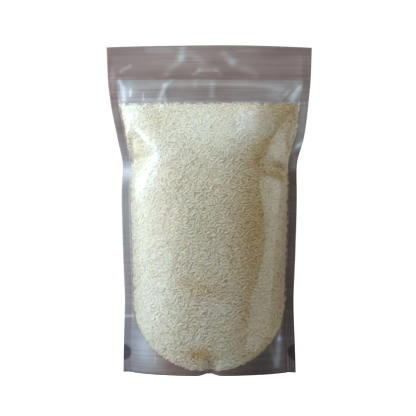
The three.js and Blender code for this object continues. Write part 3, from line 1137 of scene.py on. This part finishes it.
def under_film(points):
    """Grain points in metres, with every grain moved to just inside the films as a whole."""
    x, y, z = (points / MM).T.reshape(3, -1, GRAIN_POINTS)
    left = SEAL_WIDTH + SEAL_GAP - half_width(z)
    right = half_width(z, 1) - SEAL_WIDTH - SEAL_GAP
    x = x + np.maximum(left - x, 0).max(axis=1, keepdims=True)
    x = x - np.maximum(x - right, 0).max(axis=1, keepdims=True)
    middle = -forward(x, z)
    front = np.minimum(middle - film_depth(FRONT, x, z) + PRESSED_GAP, middle)
    back = np.maximum(middle + film_depth(BACK, x, z) - PRESSED_GAP, middle)
    too_far_front = np.maximum(front - y, 0).max(axis=1, keepdims=True)
    too_far_back = np.maximum(y - back, 0).max(axis=1, keepdims=True)
    y = np.clip(y + too_far_front - too_far_back, front, back)
    return np.stack([x.ravel(), y.ravel(), z.ravel()], axis=-1) * MM


def soften(mesh):
    """Lean the normals of the grains toward the film's: light that scatters fills their sides."""
    outward = vectors_of(mesh.attributes["outward"].data, "vector")
    normals = vectors_of(mesh.vertex_normals, "vector")
    facing = (outward * normals).sum(axis=1, keepdims=True)
    lean = GRAIN_LEAN * smoothstep(facing, *LEAN_FACING)
    leaned = lean * outward + (1 - lean) * normals
    leaned /= np.linalg.norm(leaned, axis=1, keepdims=True)
    mesh.normals_split_custom_set_from_vertices(leaned.tolist())
    mesh.attributes.remove(mesh.attributes["outward"])


def lay_grains(name, surface, spacing, tilt, heading, depth, seed):
    """The grains on a surface, as one plain mesh. The surface itself is removed."""
    modifier = surface.modifiers.new("grains", "NODES")
    modifier.node_group = grain_tree
    values = {
        "Grain": grain,
        "Material": rice_grain,
        "Spacing": spacing * MM,
        "Tilt": math.radians(tilt),
        "Heading": math.radians(heading),
        "Depth": depth * MM,
        "Seed": seed,
    }
    for item in grain_tree.interface.items_tree:
        if item.in_out == "INPUT" and item.name in values:
            modifier[item.identifier] = values[item.name]
    bpy.context.view_layer.update()
    evaluated = surface.evaluated_get(bpy.context.evaluated_depsgraph_get())
    mesh = bpy.data.meshes.new_from_object(evaluated)
    mesh.name = name
    mesh.vertices.foreach_set("co", under_film(vectors_of(mesh.vertices, "co")).ravel())
    add_pale_and_painted_light(mesh)
    mesh.shade_smooth()
    soften(mesh)
    piece = bpy.data.objects.new(name, mesh)
    bpy.context.scene.collection.objects.link(piece)
    bpy.data.objects.remove(surface)
    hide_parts("pouch")
    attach(piece, "root")


# How far the surfaces that carry the grains reach above the core, and the waves of the top.
WALL_ABOVE = 0.8
TOP_ABOVE = 0.6
TOP_INSET = 1.9
TOP_STEPS = 13
TOP_WAVES = 0.7
TOP_WAVE_LENGTH = 22


def surface_for_grains(name, grid):
    return mesh_piece(name, grid.reshape(-1, 3), grid_faces(*grid.shape[:2]).tolist())


def rice_wall(name, panel):
    """The surface just inside one film where its grains lie."""
    rows = []
    for z in rice_levels(RICE_TOP + WALL_ABOVE):
        parts = rice_ring(z, GRAIN_INSET, GRAIN_EDGE)
        rows.append(parts["front"] if panel == FRONT else parts["back"])
    return surface_for_grains(name, np.stack(rows))


def rice_hull(name):
    """The underside, just above the gusset: the sides of the rings below the top of the U."""
    sides = []
    for side in ("right", "left"):
        rows = [rice_ring(z, GRAIN_INSET)[side] for z in rice_levels(RICE_TOP)[:U_ROWS]]
        sides.append(np.stack(rows))
    right, left = sides
    return surface_for_grains(name, np.concatenate([left[::-1, ::-1], right]))


def rice_top(name):
    """The level top of the rice, slightly uneven."""
    ring = rice_ring(RICE_TOP + TOP_ABOVE, TOP_INSET)
    front, back = ring["front"], ring["back"][::-1]
    share = np.linspace(0, 1, TOP_STEPS)[:, None, None]
    grid = front[None] * (1 - share) + back[None] * share
    grid[..., 2] += TOP_WAVES * ripples(grid[..., 0], grid[..., 1], TOP_WAVE_LENGTH, seed=31)
    return surface_for_grains(name, grid)


grain = one_grain()
grain_tree = scatter_tree()
rice_grain = rice_material("rice grains", packed=False)
# Each surface's spacing, greatest tilt and turn in degrees, greatest depth, and seed.
lay_grains("rice_front", rice_wall("front wall", FRONT), 1.9, 8, 74, 0.8, 1)
lay_grains("rice_back", rice_wall("back wall", BACK), 1.9, 8, 74, 0.8, 2)
lay_grains("rice_bottom", rice_hull("hull"), 2.3, 8, 80, 1.0, 3)
lay_grains("rice_top", rice_top("top"), 1.9, 28, 180, 1.6, 4)
bpy.data.objects.remove(grain)


# The stage. A pale bowl of card, whose floor sweeps up all round, so that no edge shows. Its sizes
# and the places of the lights and the camera are in metres.
FLOOR_RADIUS = 1.5
FLOOR_HOLE = 0.02
SWEEP = 0.35
WALL_TOP = 0.9
PROFILE_STEPS = 12
BOWL_TURNS = 72


def stage_bowl():
    profile = [(radius, 0.0) for radius in np.linspace(FLOOR_HOLE, FLOOR_RADIUS, PROFILE_STEPS)]
    for angle in np.linspace(0, math.pi / 2, PROFILE_STEPS)[1:]:
        profile.append((FLOOR_RADIUS + SWEEP * math.sin(angle), SWEEP * (1 - math.cos(angle))))
    profile.append((FLOOR_RADIUS + SWEEP, WALL_TOP))
    turns = [2 * math.pi * turn / BOWL_TURNS for turn in range(BOWL_TURNS)]
    points = [
        (radius * math.cos(turn) / MM, radius * math.sin(turn) / MM, z / MM)
        for radius, z in profile
        for turn in turns
    ]
    faces = grid_faces(len(profile), BOWL_TURNS, closed=True)[:, ::-1].tolist()
    return mesh_piece("floor", points, faces + [list(range(BOWL_TURNS))])


def stage_material():
    """Pale card, bright to the camera, and duller to the light so that it throws little back."""
    material, tree = new_material("pale card")
    ray = add_node(tree, "ShaderNodeLightPath").outputs["Is Camera Ray"]
    dull = add_node(tree, "ShaderNodeBsdfDiffuse", Color=(0.4, 0.39, 0.38, 1))
    matte = add_node(tree, "ShaderNodeBsdfDiffuse", Color=(0.8, 0.8, 0.8, 1))
    glow = add_node(tree, "ShaderNodeEmission", Color=(1, 1, 1, 1), Strength=0.95)
    bright = add_node(tree, "ShaderNodeAddShader", _0=matte.outputs[0], _1=glow.outputs[0])
    card = mixed(tree, ray, dull, bright)
    add_node(tree, "ShaderNodeOutputMaterial", Surface=card.outputs[0])
    return material


floor = stage_bowl()
floor.data.materials.append(stage_material())


# The light. Soft windows close by on the left, so that it falls off across the bag, soft boxes over
# the camera, and a card each for the right side and the back.
MIDDLE = Vector((0, 0, 0.15))
# An azimuth of 0 is in front and 90 on the right. Name, azimuth, elevation, distance, width, height
# and radiance.
CARDS = [
    ("low window", -62, 6, 0.45, 0.42, 0.34, (2.06, 2.31, 2.56)),
    ("high window", -56, 42, 0.45, 0.34, 0.30, (0.8, 1.05, 1.25)),
    ("far window", -80, 24, 1.2, 0.50, 0.90, (2.0, 2.2, 1.7)),
    ("soft box", -8, 42, 0.42, 0.30, 0.30, (1.64, 1.94, 1.99)),
    ("far soft box", 18, 40, 1.2, 0.50, 0.50, (1.75, 1.85, 2.05)),
    ("right card", 80, 8, 1.2, 0.50, 0.50, (2.12, 2.28, 2.20)),
    ("back card", 180, 50, 1.2, 0.80, 0.80, (2.8, 2.9, 2.8)),
]
ROOM_COLOUR = (1.0, 0.86, 0.66, 1)
ROOM_STRENGTH = 0.02


def add_card(name, azimuth, elevation, distance, width, height, radiance):
    """An area light that faces the bag and that the camera doesn't see."""
    lamp = bpy.data.lights.new(name, "AREA")
    lamp.shape = "RECTANGLE"
    lamp.size, lamp.size_y = width, height
    strongest = max(radiance)
    lamp.energy = strongest * math.pi * width * height
    lamp.color = [value / strongest for value in radiance]
    turn, rise = math.radians(azimuth), math.radians(elevation)
    way = Vector((math.sin(turn) * math.cos(rise), -math.cos(turn) * math.cos(rise), math.sin(rise)))
    holder = bpy.data.objects.new(name, lamp)
    holder.location = MIDDLE + distance * way
    holder.rotation_euler = (-way).to_track_quat("-Z", "Y").to_euler()
    holder.visible_camera = False
    bpy.context.scene.collection.objects.link(holder)


for card in CARDS:
    add_card(*card)

world = bpy.data.worlds.new("room")
world.use_nodes = True
sky = world.node_tree.nodes["Background"]
sky.inputs["Color"].default_value = ROOM_COLOUR
sky.inputs["Strength"].default_value = ROOM_STRENGTH
bpy.context.scene.world = world
bpy.context.scene.view_settings.view_transform = "Standard"
bpy.context.scene.cycles.transparent_max_bounces = 32
bpy.context.scene.cycles.diffuse_bounces = 8


# The camera. It stands straight in front of the bag, level with its middle, and the frame is as wide
# as this at the bag.
CAMERA_SIDE = -0.0011
CAMERA_DISTANCE = 1.1
CAMERA_HEIGHT = 0.1445
FRAME_WIDTH = 0.367
SENSOR = 36.0
camera = bpy.data.objects.new("camera", bpy.data.cameras.new("camera"))
camera.data.sensor_width = SENSOR
camera.data.lens = SENSOR * CAMERA_DISTANCE / FRAME_WIDTH
camera.location = (CAMERA_SIDE, -CAMERA_DISTANCE, CAMERA_HEIGHT)
camera.rotation_euler = (math.pi / 2, 0, 0)
bpy.context.scene.collection.objects.link(camera)
bpy.context.scene.camera = camera
